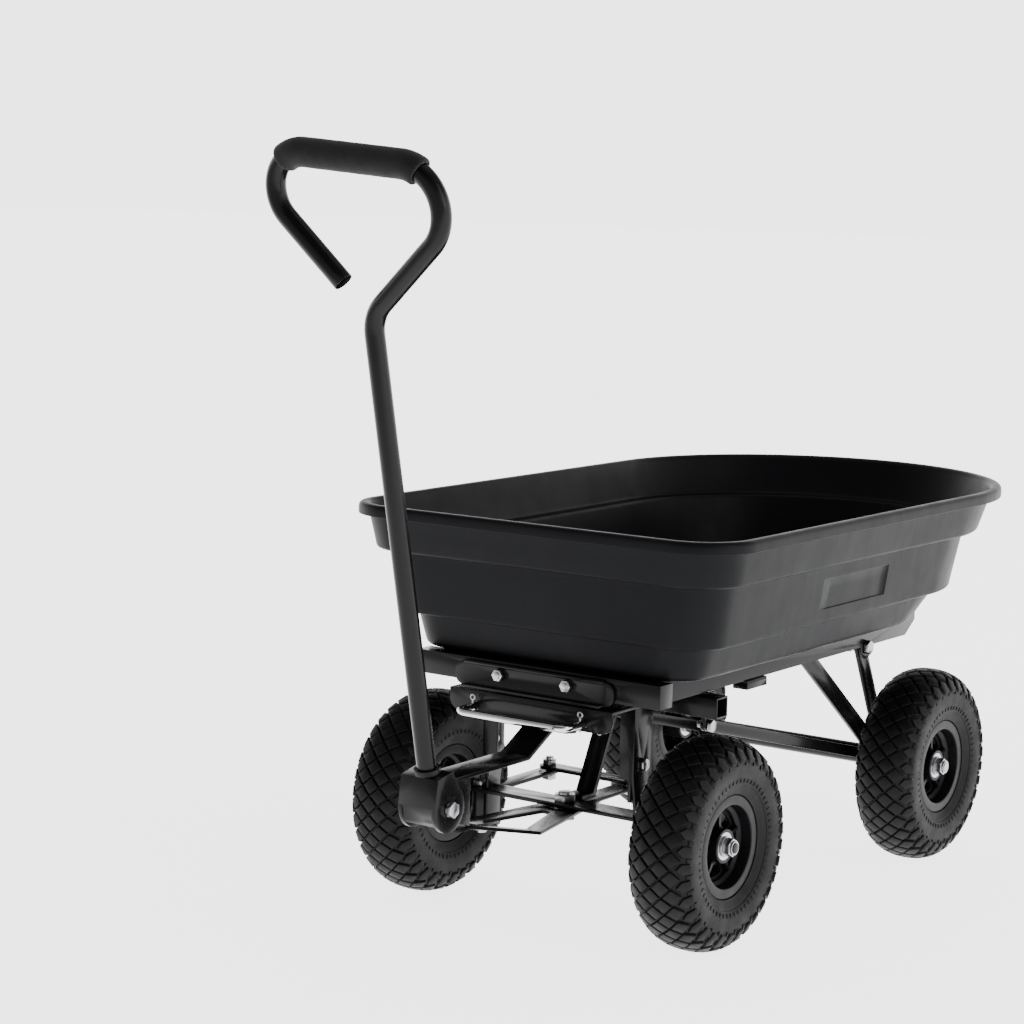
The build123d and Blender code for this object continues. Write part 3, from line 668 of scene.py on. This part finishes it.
HV = [(0, 38.0), (0, 556.9), (175.8, 709.0), (-174.5, 737.3), (-33.6, 591.2)]
hp2 = fillet_path(HV, [45.0, 48.7, 41.3])


def build_handle():
    SN = 40
    path = [hplane(*p) for p in hp2]
    V = tube_rings(path, [11.0] * len(path), SN)
    n_out = len(path)
    F = []
    for i in range(n_out - 1):
        F += ring_faces(i, i + 1, SN)
    # rolled end face and the bore seen at the open end
    fr = frames_along(path)
    last, t_end = fr[-1], (Vector(path[-1]) - Vector(path[-2])).normalized()

    def ring_at(back, r):
        p = last[0] - t_end * back
        for k in range(SN):
            a = 2 * math.pi * k / SN
            V.append(p + (last[1] * math.cos(a) + last[2] * math.sin(a)) * r)
        return len(V) // SN - 1

    # ease the outer end ring
    prev = n_out - 1
    for k in range(SN):
        p = last[0] - t_end * 0.5
        a = 2 * math.pi * k / SN
        V[prev * SN + k] = p + (last[1] * math.cos(a) + last[2] * math.sin(a)) * 11.0
    for back, r in ((0.05, 10.7), (0.0, 10.3), (0.05, 9.75), (0.5, 9.5), (45.0, 9.5)):
        cur = ring_at(back, r)
        F += ring_faces(prev, cur, SN)
        prev = cur
    F.append([prev * SN + k for k in range(SN)])
    F.append([k for k in range(SN)][::-1])
    new_obj("handle_tube_bent", np.array([tuple(v) for v in V]) * MM, F, node="handle_tube", sharp=40.0)


build_handle()


def build_grip():
    SN = 56
    P = np.array([p for p in hp2 if p[1] > 660])
    d = np.concatenate([[0], np.cumsum(np.hypot(*np.diff(P, axis=0).T))])
    top = P[:, 1] > 690
    at_x = lambda x: float(np.interp(-x, -P[top, 0], d[top]))
    s0, s1 = at_x(83.8), at_x(-92.8)
    outer = [(0.0, 13.2), (0.25, 14.5), (0.9, 15.4), (2.2, 15.85), (4.5, 15.97), (8.0, 15.9)]
    mid = [(12.0 + (s1 - s0 - 24.0) * k / 39, 15.88 + 0.07 * math.sin(k * 0.9) + 0.05 * math.sin(k * 2.3 + 1)) for k in range(40)]
    L = s1 - s0
    line = outer + mid + [(L - a, r) for a, r in outer[::-1]]
    inner = [(L - 0.05, 12.0), (L - 0.4, 11.35), (L - 2.0, 11.12)] + [(L - 2.0 - (L - 4.0) * k / 40, 11.12) for k in range(1, 41)] + [(0.4, 11.35), (0.05, 12.0)]
    samples = sorted({round(a, 4) for a, r in line + inner})
    path = [hplane(np.interp(s0 + a, d, P[:, 0]), np.interp(s0 + a, d, P[:, 1])) for a in samples]
    fr = dict(zip(samples, frames_along(path)))
    V, F = [], []
    for a, r in line + inner:
        p, n, b = fr[round(a, 4)]
        for k in range(SN):
            t = 2 * math.pi * k / SN
            V.append(tuple(p + (n * math.cos(t) + b * math.sin(t)) * r))
    m = len(line) + len(inner)
    for i in range(m):
        F += ring_faces(i, (i + 1) % m, SN)
    new_obj("grip_sleeve", np.array(V) * MM, F, node="foam_grip", sharp=60.0)


build_grip()

# ------------------------------------------------------------------ painted steel with eased edges
for node, w in (("tray_rail_left", 0.7), ("tray_rail_right", 0.7), ("tray_front_rail", 0.7), ("latch_plate", 0.8), ("front_deck", 0.7),
                ("front_cross_tube", 1.2), ("side_member_left", 0.7), ("side_member_right", 0.7), ("long_bar_left", 0.7), ("long_bar_right", 0.7),
                ("brace_left", 0.7), ("brace_right", 0.7), ("upright_left", 0.7), ("upright_right", 0.7), ("front_leg_left", 0.7),
                ("front_leg_right", 0.7), ("lower_cross_bar", 0.6), ("tongue_top_bar", 0.8), ("tongue_lower_plate", 0.6), ("tongue_cheeks", 0.8),
                ("knuckle_left", 0.5), ("knuckle_right", 0.5), ("tie_bar", 0.6), ("handle_fork", 0.9), ("frame_bolts", 0.4), ("latch_bolts", 0.4),
                ("front_nuts_left", 0.4), ("front_nuts_right", 0.4), ("rear_axle_nuts", 0.4), ("tie_bar_bolts", 0.4), ("handle_pivot_bolt", 0.4),
                ("tray_pivot_bolts", 0.4), ("kingpins", 0.4), ("knuckle_pins", 0.4), ("rest_pads", 0.5), ("tray_bolts", 0.3)):
    bevel_copy(node, w * MM, 2)


# ------------------------------------------------------------------ stage
def stage():
    me = bpy.data.meshes.new("floor")
    V, F = [], []
    R = 30.0
    V = [(-R, -R, 0), (R, -R, 0), (R, R, 0), (-R, R, 0)]
    me.from_pydata(V, [], [(0, 1, 2, 3)])
    ob = bpy.data.objects.new("floor", me)
    bpy.context.collection.objects.link(ob)
    m = bpy.data.materials.new("floor")
    m.use_nodes = True
    b = m.node_tree.nodes["Principled BSDF"]
    b.inputs["Base Color"].default_value = (0.93, 0.93, 0.93, 1)
    b.inputs["Roughness"].default_value = 0.8
    b.inputs["Specular IOR Level"].default_value = 0.1
    # lit white table: full glow under and behind the cart, less towards the front
    N, L = m.node_tree.nodes, m.node_tree.links
    geo = N.new("ShaderNodeNewGeometry")
    sep = N.new("ShaderNodeSeparateXYZ")
    L.new(geo.outputs["Position"], sep.inputs["Vector"])
    mr = N.new("ShaderNodeMapRange")
    mr.interpolation_type = "SMOOTHSTEP"
    mr.inputs["From Min"].default_value = -2.3
    mr.inputs["From Max"].default_value = -1.05
    mr.inputs["To Min"].default_value = 0.55
    mr.inputs["To Max"].default_value = 3.0
    L.new(sep.outputs["Y"], mr.inputs["Value"])
    b.inputs["Emission Color"].default_value = (1, 1, 1, 1)
    L.new(mr.outputs["Result"], b.inputs["Emission Strength"])
    me.materials.append(m)
    w = bpy.data.worlds.new("studio")
    bpy.context.scene.world = w
    w.use_nodes = True
    N, L = w.node_tree.nodes, w.node_tree.links
    bg = N["Background"]
    bg.inputs["Color"].default_value = (1, 1, 1, 1)
    tc = N.new("ShaderNodeTexCoord")
    sp = N.new("ShaderNodeSeparateXYZ")
    L.new(tc.outputs["Generated"], sp.inputs["Vector"])

    def ramp(src, lo, hi, a, b_):
        r = N.new("ShaderNodeMapRange")
        r.interpolation_type = "SMOOTHSTEP"
        r.inputs["From Min"].default_value = lo
        r.inputs["From Max"].default_value = hi
        r.inputs["To Min"].default_value = a
        r.inputs["To Max"].default_value = b_
        L.new(src, r.inputs["Value"])
        return r.outputs["Result"]

    low = ramp(sp.outputs["Z"], 0.12, 0.5, 1.0, 0.14)
    rear = ramp(sp.outputs["Y"], -0.75, 0.1, 0.25, 1.0)
    mul = N.new("ShaderNodeMath")
    mul.operation = "MULTIPLY"
    L.new(low, mul.inputs[0])
    L.new(rear, mul.inputs[1])
    mul2 = N.new("ShaderNodeMath")
    mul2.operation = "MULTIPLY"
    mul2.inputs[1].default_value = 3.5
    L.new(mul.outputs[0], mul2.inputs[0])
    L.new(mul2.outputs[0], bg.inputs["Strength"])

    def area(name, loc, look, size, power):
        l = bpy.data.lights.new(name, "AREA")
        l.shape = "RECTANGLE"
        l.size, l.size_y = size
        l.energy = power
        o = bpy.data.objects.new(name, l)
        bpy.context.collection.objects.link(o)
        o.location = loc
        o.rotation_euler = (Vector(look) - Vector(loc)).to_track_quat("-Z", "Y").to_euler()

    area("key_right", (3.2, -0.4, 1.9), (0, 0, 0.35), (1.2, 2.4), 22)
    area("fill_left", (-2.2, -2.8, 1.8), (0, 0, 0.4), (1.6, 2.0), 5)
    area("rear_rim", (0.6, 3.6, 2.6), (0, 0.2, 0.4), (2.6, 1.2), 14)
    area("top", (0.2, 0.0, 3.6), (0, 0, 0.3), (2.4, 2.4), 8)


stage()
